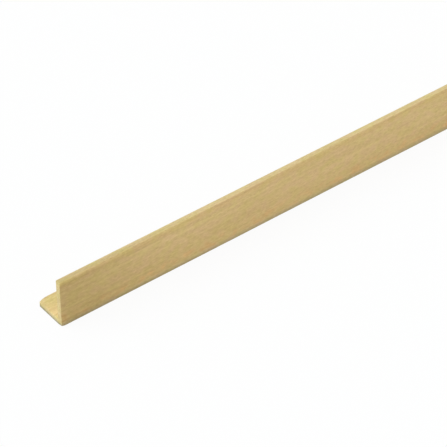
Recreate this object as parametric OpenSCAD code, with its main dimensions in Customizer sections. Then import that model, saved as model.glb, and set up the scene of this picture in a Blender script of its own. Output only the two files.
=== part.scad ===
// Wooden edge trim: a moulded L section, sawn square at both ends.
// The strip lies along X and stands on its foot, with the upright leg's outer face towards -Y.
// The origin is under the middle of the strip, on the floor. Sizes are in millimetres.

/* [Stock] */
// Length that the strip is sold in
trim_l = 2400; // [900:100:3000]

/* [Section] */
// Height of the upright leg, from the floor to its top edge
leg_h = 35; // [25:1:60]
// Width of the foot, from the leg's outer face to its free edge
foot_w = 25; // [18:1:50]
// Thickness of the upright leg
leg_t = 4; // [3:0.5:8]
// Thickness of the foot
foot_t = 4; // [3:0.5:8]

/* [Edges] */
// Radius on the outside corner, where leg and foot meet
nose_r = 0.5; // [0.3:0.1:2.5]
// Radius of the fillet that the cutter leaves in the inside corner
root_r = 1; // [0.5:0.1:3]
// Radius on the four free edges of leg and foot
arris_r = 0.4; // [0.3:0.1:1.2]

/* [Rubbed corner] */
// How far the rubbed corner at the near end runs along the foot
rub_l = 7; // [4:0.5:12]
// How far it goes in across the end of the foot
rub_d = 1.8; // [0.5:0.1:2.4]

/* [Hidden] */
$fn = 96;
// How far a cut reaches past the face that it cuts
past = 1;
// The near end and the foot's free edge, in the strip's own frame
near_x = -trim_l / 2;
leg_y = -foot_w / 2;
free_y = foot_w / 2;
// Radius of the rubbed corner's arc, which meets the free edge in a tangent
rub_r = (pow(rub_l, 2) + pow(rub_d, 2)) / (2 * rub_d);

// The wedge between a square corner at the origin and an arc that touches both of its sides.
// It is what the plane takes off a corner, and what the cutter leaves in one.
module wedge(r) {
    difference() {
        translate([-past, -past]) square(r + past);
        translate([r, r]) circle(r);
    }
}

// The L section, with its outside corner at the origin, the foot along x and the leg along y
module section() {
    difference() {
        union() {
            square([foot_w, foot_t]);
            square([leg_t, leg_h]);
            translate([leg_t, foot_t]) wedge(root_r);
        }
        wedge(nose_r);
        translate([0, leg_h]) mirror([0, 1]) wedge(arris_r);
        translate([leg_t, leg_h]) rotate(180) wedge(arris_r);
        translate([foot_w, 0]) mirror([1, 0]) wedge(arris_r);
        translate([foot_w, foot_t]) rotate(180) wedge(arris_r);
    }
}

// What is rubbed off the foot's corner at the near end, as an upright prism
module rubbed_off() {
    translate([near_x, free_y, -past])
        difference() {
            translate([-past, -rub_d, 0]) cube([rub_l + past, rub_d + past, foot_t + 2 * past]);
            translate([rub_l, -rub_r, -past]) cylinder(r = rub_r, h = foot_t + 4 * past);
        }
}

module edge_trim() {
    color("burlywood")
        difference() {
            translate([near_x, leg_y, 0]) rotate([90, 0, 90]) linear_extrude(trim_l) section();
            rubbed_off();
        }
}

edge_trim();
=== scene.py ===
"""Dresses the wooden edge trim: a strip of raw wood moulded to an L section.

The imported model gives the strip's size and place. Here it gets a finer mesh with eased, slightly uneven
arrises, solid wood grain that runs through to its sawn ends, and a plain studio round it.
Lengths are in metres.
"""
import math

import bmesh
import bpy
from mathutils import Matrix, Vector


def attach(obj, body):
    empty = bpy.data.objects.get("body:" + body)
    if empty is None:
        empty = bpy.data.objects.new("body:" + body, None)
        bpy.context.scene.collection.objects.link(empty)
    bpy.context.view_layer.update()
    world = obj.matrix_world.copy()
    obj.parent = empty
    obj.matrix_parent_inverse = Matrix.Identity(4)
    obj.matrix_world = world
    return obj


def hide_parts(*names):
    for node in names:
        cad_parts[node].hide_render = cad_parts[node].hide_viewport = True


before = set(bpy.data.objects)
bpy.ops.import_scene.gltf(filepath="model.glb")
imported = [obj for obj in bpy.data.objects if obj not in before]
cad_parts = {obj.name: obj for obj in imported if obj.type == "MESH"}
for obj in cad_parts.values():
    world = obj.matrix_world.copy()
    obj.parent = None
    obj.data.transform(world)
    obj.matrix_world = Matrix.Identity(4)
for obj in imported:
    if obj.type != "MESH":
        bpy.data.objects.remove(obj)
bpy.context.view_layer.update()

MM = 0.001

# The section, as the construction has it: y across the foot, z up the leg
TRIM_LENGTH = 2400 * MM
LEG_HEIGHT = 35 * MM
FOOT_WIDTH = 25 * MM
LEG_THICKNESS = 4 * MM
FOOT_THICKNESS = 4 * MM
NOSE_RADIUS = 0.5 * MM
ROOT_RADIUS = 1 * MM
ARRIS_RADIUS = 0.4 * MM
RUB_LENGTH = 7 * MM
RUB_DEPTH = 1.8 * MM

NEAR_END = -TRIM_LENGTH / 2
FAR_END = TRIM_LENGTH / 2
LEG_OUTSIDE = -FOOT_WIDTH / 2
LEG_INSIDE = LEG_OUTSIDE + LEG_THICKNESS
FREE_EDGE = FOOT_WIDTH / 2
NEAR_CORNER = Vector((NEAR_END, LEG_OUTSIDE, 0))
ROUND_SECTION = 2 * (LEG_HEIGHT + FOOT_WIDTH)

# What only the scene has: a chamfer round the sawn ends, and a blunt near bottom corner
END_CHAMFER = 0.15 * MM
BLUNT_PUSH = (0.2 * MM, 0.2 * MM, 0.45 * MM)
BLUNT_CORE = 0.75 * MM
BLUNT_REACH = 2.2 * MM

# Faces in each rounding
RUB_FACETS = 8
NOSE_STEPS = 6
ROOT_STEPS = 7
ARRIS_STEPS = 5

# Where the strip's faces are divided, in millimetres: up the leg, across the foot, and along from the near
# end. Along the strip they are 1 mm long at first. Each stretch after that has a start, an end and its rows.
LEG_ROWS = (1.5, 5.4, 15, 25, 34)
FOOT_ROWS = (-11.1, -7.1, 2, 11.4)
CLOSE_ROWS = range(1, 31)
STRETCHES = (
    (30, 130, 66), (130, 230, 60), (230, 330, 50), (330, 600, 40),
    (600, 1200, 85), (1200, 1800, 85), (1800, 2399, 85),
)

# Two places closer than this count as one
CLOSE = 0.01 * MM
# A face looks in a direction when more than this share of its normal points there
FACING = 0.9
# The same along the strip, for a face of a sawn end, and for one of an end or its chamfer
ON_END = 0.8
ON_CHAMFER = 0.5


# Modelling

def only(piece):
    """Makes piece the one selected and active object."""
    bpy.ops.object.select_all(action="DESELECT")
    piece.select_set(True)
    bpy.context.view_layer.objects.active = piece


def pick(kind, test):
    """In edit mode, selects just the faces, edges or corners that pass a test."""
    bpy.ops.mesh.select_mode(type=kind)
    bpy.ops.mesh.select_all(action="DESELECT")
    mesh = bmesh.from_edit_mesh(bpy.context.edit_object.data)
    parts = {"VERT": mesh.verts, "EDGE": mesh.edges, "FACE": mesh.faces}[kind]
    for part in parts:
        if test(part):
            part.select_set(True)
    mesh.select_flush_mode()
    bmesh.update_edit_mesh(bpy.context.edit_object.data)


def near(a, b):
    return abs(a - b) < CLOSE


def runs_along(y, z):
    """A test for edges that run along the strip at this place in its section."""
    return lambda edge: all(near(v.co.y, y) and near(v.co.z, z) for v in edge.verts)


def on_arris(edge):
    """A test for the free edges of leg and foot, round the rubbed corner too."""
    a, b = (v.co for v in edge.verts)
    if near(a.x, b.x):
        return False
    at_top = near(a.z, LEG_HEIGHT) and near(b.z, LEG_HEIGHT)
    level = near(a.z, b.z) and (near(a.z, 0) or near(a.z, FOOT_THICKNESS))
    outer = min(a.y, b.y) > FREE_EDGE - RUB_DEPTH - 10 * CLOSE
    return at_top or (level and outer)


def draw_out(x, y, z):
    """In edit mode, extrudes the selected faces by so much."""
    bpy.ops.mesh.extrude_region_move(TRANSFORM_OT_translate={"value": (x, y, z)})


def saw(place, facing, drop_front=False):
    """In edit mode, cuts the whole mesh with a plane. What lies in front can drop, and the cut is closed."""
    bpy.ops.mesh.select_all(action="SELECT")
    bpy.ops.mesh.bisect(plane_co=place, plane_no=facing, clear_outer=drop_front)
    if drop_front:
        bpy.ops.mesh.edge_face_add()


def ease(radius, steps):
    """In edit mode, rounds the selected edges."""
    bpy.ops.mesh.bevel(offset=radius, segments=steps, affect="EDGES", profile=0.5, clamp_overlap=True)


def divide(start, end, parts):
    """In edit mode, divides the stretch of the strip between two places into equal rows of faces."""
    nearly_all = (end - start) * 0.99
    pick("EDGE", lambda edge: edge.calc_length() > nearly_all
         and all(start - CLOSE < v.co.x < end + CLOSE for v in edge.verts))
    bpy.ops.mesh.subdivide(number_cuts=parts - 1)


def corner_block():
    """The block where leg and foot meet, from end to end but for the chamfers."""
    bpy.ops.object.select_all(action="DESELECT")
    bpy.ops.mesh.primitive_cube_add(
        size=1,
        location=(0, (LEG_OUTSIDE + LEG_INSIDE) / 2, FOOT_THICKNESS / 2),
        scale=(TRIM_LENGTH - 2 * END_CHAMFER, LEG_THICKNESS, FOOT_THICKNESS),
    )
    piece = bpy.context.object
    piece.name = piece.data.name = "moulded_strip"
    bpy.ops.object.transform_apply(location=True, rotation=True, scale=True)
    return piece


def rub_foot_corner():
    """In edit mode, rubs the foot's near corner to an arc that runs out into the free edge."""
    radius = (RUB_LENGTH ** 2 + RUB_DEPTH ** 2) / (2 * RUB_DEPTH)
    sweep = math.asin(RUB_LENGTH / radius)
    centre = Vector((NEAR_END + RUB_LENGTH, FREE_EDGE - radius, 0))
    for facet in range(RUB_FACETS):
        turn = sweep * (facet + 0.5) / RUB_FACETS
        facing = Vector((-math.sin(turn), math.cos(turn), 0))
        saw(centre + facing * radius, facing, drop_front=True)


def add_rows():
    """In edit mode, adds rows of faces, closest where the arrises and the near end need them."""
    for height in LEG_ROWS:
        saw((0, 0, height * MM), (0, 0, 1))
    for place in FOOT_ROWS:
        saw((0, place * MM, 0), (0, 1, 0))
    for place in CLOSE_ROWS:
        saw((NEAR_END + place * MM, 0, 0), (1, 0, 0))
    saw((FAR_END - 1 * MM, 0, 0), (1, 0, 0))
    for start, end, rows in STRETCHES[1:]:
        saw((NEAR_END + start * MM, 0, 0), (1, 0, 0))
    for start, end, rows in STRETCHES:
        divide(NEAR_END + start * MM, NEAR_END + end * MM, rows)


def moulded_strip():
    """The strip's body: a corner block drawn out into leg and foot, with its edges rounded."""
    piece = corner_block()
    only(piece)
    bpy.ops.object.mode_set(mode="EDIT")
    pick("FACE", lambda face: face.normal.z > FACING)
    draw_out(0, 0, LEG_HEIGHT - FOOT_THICKNESS)
    pick("FACE", lambda face: face.normal.y > FACING and face.calc_center_median().z < FOOT_THICKNESS)
    draw_out(0, FOOT_WIDTH - LEG_THICKNESS, 0)
    rub_foot_corner()

    pick("EDGE", runs_along(LEG_OUTSIDE, 0))
    ease(NOSE_RADIUS, NOSE_STEPS)
    pick("EDGE", runs_along(LEG_INSIDE, FOOT_THICKNESS))
    ease(ROOT_RADIUS, ROOT_STEPS)
    pick("EDGE", on_arris)
    ease(ARRIS_RADIUS, ARRIS_STEPS)
    pick("FACE", lambda face: abs(face.normal.x) > FACING)
    bpy.ops.mesh.inset(thickness=END_CHAMFER, depth=END_CHAMFER)
    add_rows()

    pick("VERT", lambda vertex: (vertex.co - NEAR_CORNER).length < BLUNT_CORE)
    bpy.ops.transform.translate(
        value=BLUNT_PUSH,
        use_proportional_edit=True, proportional_edit_falloff="SMOOTH", proportional_size=BLUNT_REACH,
    )
    bpy.ops.object.mode_set(mode="OBJECT")
    return piece


def uneven_arrises(piece):
    """Lets the rounded edges wander inwards by a hair, as knives and handling leave them."""
    group = piece.vertex_groups.new(name="arrises")
    corners = (
        (LEG_OUTSIDE, 0, NOSE_RADIUS),
        (LEG_OUTSIDE, LEG_HEIGHT, ARRIS_RADIUS),
        (LEG_INSIDE, LEG_HEIGHT, ARRIS_RADIUS),
        (FREE_EDGE, 0, ARRIS_RADIUS),
        (FREE_EDGE, FOOT_THICKNESS, ARRIS_RADIUS),
    )
    for vertex in piece.data.vertices:
        for y, z, radius in corners:
            if max(abs(vertex.co.y - y), abs(vertex.co.z - z)) < radius + CLOSE:
                group.add([vertex.index], 1, "REPLACE")

    # Each has a length along the strip and a depth, in millimetres. An empty object stretches its clouds.
    for name, length, depth in (("long_wander", 30, 0.06), ("short_chatter", 5, 0.05)):
        texture = bpy.data.textures.new(name, "CLOUDS")
        texture.noise_scale = 1
        texture.noise_depth = 1
        guide = bpy.data.objects.new(name, None)
        bpy.context.scene.collection.objects.link(guide)
        guide.scale = (length * MM, 2 * MM, 2 * MM)
        bpy.context.view_layer.update()
        only(piece)
        modifier = piece.modifiers.new(name, "DISPLACE")
        modifier.texture = texture
        modifier.texture_coords = "OBJECT"
        modifier.texture_coords_object = guide
        modifier.vertex_group = "arrises"
        # Below 0, so that nothing ever moves outwards
        modifier.mid_level = -0.2
        modifier.strength = -depth * MM
        bpy.ops.object.modifier_apply(modifier=name)
        bpy.data.objects.remove(guide)
    piece.vertex_groups.remove(piece.vertex_groups["arrises"])


def unrolled(centre, normal, y, z):
    """How far round the section a corner of a face lies, from the nose up the leg and back under the foot."""
    if abs(normal.y) >= abs(normal.z):
        if normal.y < 0:
            return z
        if centre.y < 0:
            return 2 * LEG_HEIGHT + LEG_THICKNESS - z
        return ROUND_SECTION - FOOT_WIDTH - z
    if normal.z < 0:
        return ROUND_SECTION - (y - LEG_OUTSIDE)
    if centre.z > FOOT_THICKNESS * 2:
        return LEG_HEIGHT + y - LEG_OUTSIDE
    return 2 * LEG_HEIGHT + LEG_THICKNESS - FOOT_THICKNESS + y - LEG_INSIDE


# The piece's own map, in shares of its side: four lengths one above the other, and beside them both ends
MAP_LENGTHS = 4
MAP_LENGTHS_AT, MAP_LENGTHS_WIDE = 0.004, 0.892
MAP_GAP = 0.02
MAP_ENDS_AT, MAP_ENDS_WIDE = 0.905, 0.09
MAP_NEAR_END_AT, MAP_FAR_END_AT = 0.02, 0.2


def lay_flat(piece):
    """Gives the piece its map: the strip in four lengths, each unrolled, and the two ends."""
    flat = piece.data.uv_layers.new(name="OFBake")
    for face in piece.data.polygons:
        along = (face.center.x - NEAR_END) / TRIM_LENGTH * MAP_LENGTHS
        row = min(int(along), MAP_LENGTHS - 1)
        for loop in face.loop_indices:
            x, y, z = piece.data.vertices[piece.data.loops[loop].vertex_index].co
            if abs(face.normal.x) > ON_CHAMFER:
                u = MAP_ENDS_AT + MAP_ENDS_WIDE * (y - LEG_OUTSIDE) / FOOT_WIDTH
                v = MAP_NEAR_END_AT if face.normal.x < 0 else MAP_FAR_END_AT
                v += MAP_ENDS_WIDE * z / FOOT_WIDTH
            else:
                u = MAP_LENGTHS_AT + MAP_LENGTHS_WIDE * ((x - NEAR_END) / TRIM_LENGTH * MAP_LENGTHS - row)
                up = unrolled(face.center, face.normal, y, z) / ROUND_SECTION
                v = (row + MAP_GAP + (1 - 2 * MAP_GAP) * up) / MAP_LENGTHS
            flat.data[loop].uv = (u, v)


# Materials

class Number:
    """A number that changes over a surface: a node's output that takes part in plain arithmetic."""

    def __init__(self, recipe, socket):
        self.recipe = recipe
        self.socket = socket

    def maths(self, operation, first, second):
        return self.recipe.number("ShaderNodeMath", {"operation": operation}, {0: first, 1: second})

    def __add__(self, other):
        return self.maths("ADD", self, other)

    def __sub__(self, other):
        return self.maths("SUBTRACT", self, other)

    def __rsub__(self, other):
        return self.maths("SUBTRACT", other, self)

    def __mul__(self, other):
        return self.maths("MULTIPLY", self, other)

    __radd__ = __add__
    __rmul__ = __mul__

    def rise(self, start, end):
        """0 up to start, 1 from end on, and a smooth rise between."""
        return self.recipe.number(
            "ShaderNodeMapRange", {"interpolation_type": "SMOOTHSTEP"},
            {"Value": self, "From Min": start, "From Max": end},
        )

    def fall(self, start, end):
        """1 up to start, 0 from end on, and a smooth fall between."""
        return 1 - self.rise(start, end)


class Recipe:
    """The nodes of a material, or of the world, added one at a time."""

    def __init__(self, owner):
        self.owner = owner
        owner.use_nodes = True
        self.tree = owner.node_tree
        self.tree.nodes.clear()

    def node(self, kind, settings, sockets):
        """Adds a node: its settings first, then a value or a link for each named socket."""
        node = self.tree.nodes.new(kind)
        for name, value in settings.items():
            setattr(node, name, value)
        for name, value in sockets.items():
            if isinstance(value, Number):
                value = value.socket
            if isinstance(value, bpy.types.NodeSocket):
                self.tree.links.new(value, node.inputs[name])
            else:
                node.inputs[name].default_value = value
        return node

    def number(self, kind, settings, sockets, output=0):
        return Number(self, self.node(kind, settings, sockets).outputs[output])

    def vector(self, operation, *vectors):
        """Adds, subtracts or scales places and shifts."""
        sockets = dict(enumerate(vectors))
        return self.node("ShaderNodeVectorMath", {"operation": operation}, sockets).outputs[0]

    def mix(self, factor, first, second, blend="MIX"):
        """Blends two colours."""
        settings = {"data_type": "RGBA", "blend_type": blend}
        return self.node("ShaderNodeMix", settings, {0: factor, 6: first, 7: second}).outputs[2]

    def stretched(self, place, along, across, turn=(0, 0, 0)):
        """Coordinates in which a pattern is so long along the strip, and so wide across it."""
        scale = (1 / along, 1 / across, 1 / across)
        sockets = {"Vector": place, "Scale": scale, "Rotation": turn}
        return self.node("ShaderNodeMapping", {}, sockets).outputs[0]


def colour(red, green, blue):
    """A colour as it looks on screen, 0 to 255, in the linear numbers that shaders take."""
    def linear(part):
        part /= 255
        return part / 12.92 if part <= 0.04045 else ((part + 0.055) / 1.055) ** 2.4
    return (linear(red), linear(green), linear(blue), 1)


# Which part of the tree the strip was sawn from, and how its grain lies to the strip's own line
PLACE_IN_TREE = (63 * MM, 15.1 * MM, 15.4 * MM)
PITH = (0, -34 * MM, -46 * MM)
GRAIN_SLOPE = (0, math.radians(0.12), math.radians(-0.35))
GRAIN_SWAY = (0, 3 * MM, 3 * MM)
LAYERS_IN_A_METRE = 620
# How little the growth layers change along the strip, next to how they change across it
LAYERS_ALONG = 0.004

DARK_WOOD = (colour(189, 167, 105), colour(192.5, 164.5, 115))
LIGHT_WOOD = (colour(224, 206, 144), colour(228.5, 203.5, 155))
PORE = colour(150, 122, 74)


class Grain:
    """The wood's patterns. They fill the tree that the strip was sawn from, and so run on round its edges."""

    def __init__(self, recipe):
        self.recipe = recipe
        in_strip = recipe.node("ShaderNodeTexCoord", {}, {}).outputs["Object"]
        parts = recipe.node("ShaderNodeSeparateXYZ", {}, {"Vector": in_strip}).outputs
        x, self.y, self.z = (Number(recipe, part) for part in parts)
        self.from_end = FAR_END - recipe.number("ShaderNodeMath", {"operation": "ABSOLUTE"}, {0: x})

        # It wanders a little off the strip's own line
        self.in_tree = recipe.vector("ADD", in_strip, PLACE_IN_TREE)
        slow = recipe.stretched(self.in_tree, 160 * MM, 50 * MM)
        sway = recipe.node("ShaderNodeTexNoise", {}, {"Vector": slow, "Scale": 1, "Detail": 1})
        shift = recipe.vector("SUBTRACT", sway.outputs["Color"], (0.5, 0.5, 0.5))
        self.swayed = recipe.vector("MULTIPLY_ADD", shift, GRAIN_SWAY, self.in_tree)

        # Growth layers round a far-off pith, then streaks and dashes of shrinking size
        from_pith = recipe.node("ShaderNodeMapping", {}, {
            "Vector": self.swayed,
            "Location": [-pith - moved for pith, moved in zip(PITH, PLACE_IN_TREE)],
            "Rotation": GRAIN_SLOPE,
            "Scale": (LAYERS_ALONG, 1, 1),
        }).outputs[0]
        radius = recipe.number("ShaderNodeVectorMath", {"operation": "LENGTH"}, {0: from_pith}, "Value")
        self.layers = recipe.number(
            "ShaderNodeTexNoise", {"noise_dimensions": "1D"},
            {"W": radius * LAYERS_IN_A_METRE, "Scale": 1, "Detail": 2, "Roughness": 0.6},
        )
        self.bands = self.pattern(140 * MM, 3.6 * MM, 2)
        self.streaks = self.pattern(85 * MM, 2.1 * MM, 2, 0.6)
        self.dashes = self.pattern(2.4 * MM, 1.2 * MM)
        self.fibres = self.pattern(4 * MM, 0.18 * MM)
        self.patches = self.pattern(8 * MM, 6 * MM)

        # Pores are short dark dashes that keep to some streaks of the wood
        cells = recipe.node("ShaderNodeTexVoronoi", {"feature": "F1"},
                            {"Vector": self.laid(4.2 * MM, 0.5 * MM), "Scale": 1})
        open_here = self.pattern(50 * MM, 2.4 * MM).rise(0.42, 0.62)
        self.pores = Number(recipe, cells.outputs["Distance"]).fall(0.12, 0.30) * open_here

    def laid(self, along, across):
        """Coordinates that follow the grain."""
        return self.recipe.stretched(self.swayed, along, across, GRAIN_SLOPE)

    def pattern(self, along, across, detail=1, roughness=0.5):
        """Soft noise that is so long along the grain, and so wide across it."""
        return self.recipe.number(
            "ShaderNodeTexNoise", {},
            {"Vector": self.laid(along, across), "Scale": 1, "Detail": detail, "Roughness": roughness},
        )


def clean_wood(recipe, grain, sawn):
    """The wood's own colour: dark and light streaks, each in soft patches of a greener and a redder tint."""
    lines = (grain.layers - 0.5) * 0.26 + (grain.bands - 0.5) * 0.27 + (grain.streaks - 0.5) * 0.86
    flecks = (grain.dashes - 0.5) * 0.52 + (grain.fibres - 0.5) * 0.32
    if sawn:
        tone = (lines + flecks) * 0.9 + 0.57
        pore_strength = 0.45
    else:
        # The lines are clearer near the ends
        tone = lines * (0.90 - grain.from_end.rise(0, 220 * MM) * 0.38) + flecks + 0.5
        pore_strength = 0.4
    tint = grain.patches.rise(0.27, 0.73)
    wood = recipe.mix(tone.rise(0, 1), recipe.mix(tint, *DARK_WOOD), recipe.mix(tint, *LIGHT_WOOD))
    return recipe.mix(grain.pores * pore_strength, wood, PORE)


def wear_and_painted_light(grain, sawn):
    """Where the wood looks aged or worn, and where light and shade are painted on it, from 0 to 1, and what
    its colour is multiplied by there.
    """
    y, z, from_end = grain.y, grain.z, grain.from_end
    # Painted light: the foot is painted palest beside the leg, close to the ends
    painted_light_by_leg = (from_end.fall(1 * MM, 14 * MM) * (y - LEG_INSIDE).rise(-0.6 * MM, 0.4 * MM)
             * y.fall(-1 * MM, 8 * MM) * z.fall(4.5 * MM, 8 * MM))
    if sawn:
        # Painted light on the foot's sawn end beside the leg
        yield painted_light_by_leg, (1.08, 1.10, 1.21, 1)
        yield 1, (1, 1, 0.93, 1)
        # Painted shade: it's greyer close to the floor
        yield z.fall(0.3 * MM, 3.2 * MM), (0.514, 0.568, 0.73, 1)
        return

    # Painted light on the foot beside the leg, close to the ends
    yield painted_light_by_leg, (1.15, 1.15, 1.14, 1)
    # Painted light and shade: the inside is painted lighter, and the outer face, in shade, a warmer tone
    outer_face = (y - LEG_OUTSIDE).fall(0.2 * MM, 1 * MM)
    yield (y - LEG_INSIDE).rise(-0.2 * MM, 0.4 * MM), (1.06, 1.045, 1, 1)
    yield outer_face, (1.07, 1, 0.94, 1)
    # It's darker close to the ends, and paler again along the top there
    close_to_ends = from_end.fall(-4 * MM, 112 * MM)
    yield close_to_ends * (y - LEG_OUTSIDE).fall(0.3 * MM, 4 * MM), (0.7975, 0.7825, 0.70, 1)
    yield close_to_ends * outer_face * z.rise(32.4 * MM, 34.5 * MM), (1.16, 1.19, 1.2, 1)
    # Painted shade: it's greyer close to the floor. There is a golden line below the top and golden patches
    # above the floor
    yield z.fall(0.3 * MM, 5 * MM) * outer_face, (0.748, 0.856, 1.018, 1)
    yield z.rise(30 * MM, 32 * MM) * z.fall(33.8 * MM, 34.5 * MM) * outer_face, (0.977, 0.962, 0.895, 1)
    low_band = z.rise(2.5 * MM, 4.5 * MM) * z.fall(7 * MM, 12.5 * MM)
    yield low_band * grain.patches.rise(0.44, 0.68) * outer_face, (1.02, 0.965, 0.83, 1)
    # The foot's free edge is grubby close to the ends
    yield (y - FREE_EDGE).rise(-1.8 * MM, -0.2 * MM) * from_end.fall(1 * MM, 8 * MM), (0.762, 0.762, 0.776, 1)


def relief(recipe, grain, sawn):
    """The surface's height: the grain, with the saw's marks on the ends and a faint ripple elsewhere."""
    height = grain.streaks * 0.25 + grain.dashes * 0.35 + grain.fibres * 0.35 - grain.pores * 0.9
    if sawn:
        slanted = recipe.stretched(grain.in_tree, 1, 4.5 * MM, (math.radians(12), 0, 0))
        teeth = recipe.number(
            "ShaderNodeTexWave", {"bands_direction": "Y"},
            {"Vector": slanted, "Scale": 1, "Distortion": 1.6, "Detail": 2, "Detail Scale": 2}, "Fac",
        )
        return height + teeth * 0.8
    ripple = recipe.number(
        "ShaderNodeTexWave", {"bands_direction": "X"},
        {"Vector": grain.in_tree, "Scale": 130, "Distortion": 0.4}, "Fac",
    )
    return height + ripple * 0.05


def raw_wood(name, sawn=False):
    """Pale straight-grained wood, solid all through: faint layers, fine streaks and short dark pores."""
    recipe = Recipe(bpy.data.materials.new(name))
    grain = Grain(recipe)
    wood = clean_wood(recipe, grain, sawn)
    for share, tone in wear_and_painted_light(grain, sawn):
        wood = recipe.mix(share, wood, tone, "MULTIPLY")
    height = relief(recipe, grain, sawn)
    bump = recipe.node("ShaderNodeBump", {}, {"Height": height, "Strength": 0.6, "Distance": 0.08 * MM})
    shader = recipe.node("ShaderNodeBsdfPrincipled", {}, {
        "Base Color": wood,
        "Roughness": 0.62 + (grain.streaks - 0.5) * 0.2 + grain.pores * 0.2,
        "Specular IOR Level": 0.35,
        "Normal": bump.outputs[0],
    })
    recipe.node("ShaderNodeOutputMaterial", {}, {"Surface": shader.outputs[0]})
    return recipe.owner


def seen_white(recipe, lit, white, share):
    """Mixes white into what the camera sees, in glass and gloss too, and leaves the light as it is."""
    rays = recipe.node("ShaderNodeLightPath", {}, {}).outputs
    seen = Number(recipe, rays["Is Camera Ray"])
    for kind in ("Is Glossy Ray", "Is Transmission Ray"):
        seen = seen.maths("MAXIMUM", seen, Number(recipe, rays[kind]))
    sockets = {0: seen * share, 1: lit.outputs[0], 2: white.outputs[0]}
    return recipe.node("ShaderNodeMixShader", {}, sockets).outputs[0]


PAPER = (0.86, 0.86, 0.86, 1)
FLOOR_WHITENESS = 0.93


def floor_paper(name):
    """White paper, which shows the strip's shadow faintly."""
    recipe = Recipe(bpy.data.materials.new(name))
    paper = recipe.node("ShaderNodeBsdfDiffuse", {}, {"Color": PAPER})
    white = recipe.node("ShaderNodeEmission", {}, {"Strength": 1})
    shown = seen_white(recipe, paper, white, FLOOR_WHITENESS)
    recipe.node("ShaderNodeOutputMaterial", {}, {"Surface": shown})
    return recipe.owner


# Pieces

# Faces that meet at less than this are shaded as one surface
SMOOTH_ANGLE = math.radians(32)


def finished_strip():
    strip = moulded_strip()
    uneven_arrises(strip)
    lay_flat(strip)
    strip.data.materials.append(raw_wood("raw_wood_long_grain"))
    strip.data.materials.append(raw_wood("raw_wood_sawn_end", sawn=True))
    for face in strip.data.polygons:
        face.material_index = 1 if abs(face.normal.x) > ON_END else 0
    only(strip)
    bpy.ops.object.shade_smooth_by_angle(angle=SMOOTH_ANGLE)
    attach(strip, "root")
    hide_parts("edge_trim")


# Camera and studio

VIEW_TURN = math.radians(37.99)
VIEW_TILT = math.radians(40.63)
# In pixels: the focal length, the picture's side, and where the near bottom corner falls in it
FOCAL = 2386
PICTURE = 447
NEAR_CORNER_AT = (62.1, 327.37)
# How far in front of the camera that corner lies
NEAR_CORNER_DEPTH = 1421 * MM
# The width of the camera's sensor, in millimetres as Blender takes it
SENSOR = 36

FLOOR_SIDE = 60
# The floor is a hair lower than the strip, so that the two share no plane
FLOOR_HEIGHT = -0.05 * MM
WHITE = (1, 1, 1, 1)
SKY_STRENGTH = 0.8
LAMP_TOWARDS = Vector((0.65, -0.5, -0.9))
LAMP_STRENGTH = 1.28
LAMP_COLOUR = (0.86, 1, 1)
# How wide the lamp looks from the strip, in radians
LAMP_WIDTH = 0.8


def set_camera():
    """Stands the camera where the near bottom corner falls on its own spot in the picture."""
    ahead = Vector((
        math.cos(VIEW_TILT) * math.sin(VIEW_TURN),
        math.cos(VIEW_TILT) * math.cos(VIEW_TURN),
        -math.sin(VIEW_TILT),
    ))
    right = Vector((math.cos(VIEW_TURN), -math.sin(VIEW_TURN), 0))
    up = right.cross(ahead)
    across = (NEAR_CORNER_AT[0] - PICTURE / 2) / FOCAL * NEAR_CORNER_DEPTH
    above = (PICTURE / 2 - NEAR_CORNER_AT[1]) / FOCAL * NEAR_CORNER_DEPTH
    bpy.ops.object.camera_add(
        location=NEAR_CORNER - right * across - up * above - ahead * NEAR_CORNER_DEPTH,
        rotation=ahead.to_track_quat("-Z", "Y").to_euler(),
    )
    camera = bpy.context.object
    camera.data.sensor_width = SENSOR
    camera.data.lens = FOCAL * SENSOR / PICTURE
    camera.data.clip_start = 0.05
    camera.data.clip_end = 100
    bpy.context.scene.camera = camera


def set_studio():
    """A wide white floor under an even white sky, with one soft lamp from behind the near end."""
    bpy.ops.object.select_all(action="DESELECT")
    bpy.ops.mesh.primitive_plane_add(size=FLOOR_SIDE, location=(0, 0, FLOOR_HEIGHT))
    floor = bpy.context.object
    floor.name = "floor"
    floor.data.materials.append(floor_paper("floor_paper"))

    bpy.context.scene.world = bpy.data.worlds.new("studio")
    recipe = Recipe(bpy.context.scene.world)
    sky = recipe.node("ShaderNodeBackground", {}, {"Color": WHITE, "Strength": SKY_STRENGTH})
    white = recipe.node("ShaderNodeBackground", {}, {"Color": WHITE, "Strength": 1})
    recipe.node("ShaderNodeOutputWorld", {}, {"Surface": seen_white(recipe, sky, white, 1)})

    bpy.ops.object.light_add(type="SUN", rotation=LAMP_TOWARDS.to_track_quat("-Z", "Y").to_euler())
    lamp = bpy.context.object
    lamp.name = "soft_lamp"
    lamp.data.angle = LAMP_WIDTH
    lamp.data.energy = LAMP_STRENGTH
    lamp.data.color = LAMP_COLOUR
    bpy.context.scene.view_settings.view_transform = "Standard"


finished_strip()
set_camera()
set_studio()
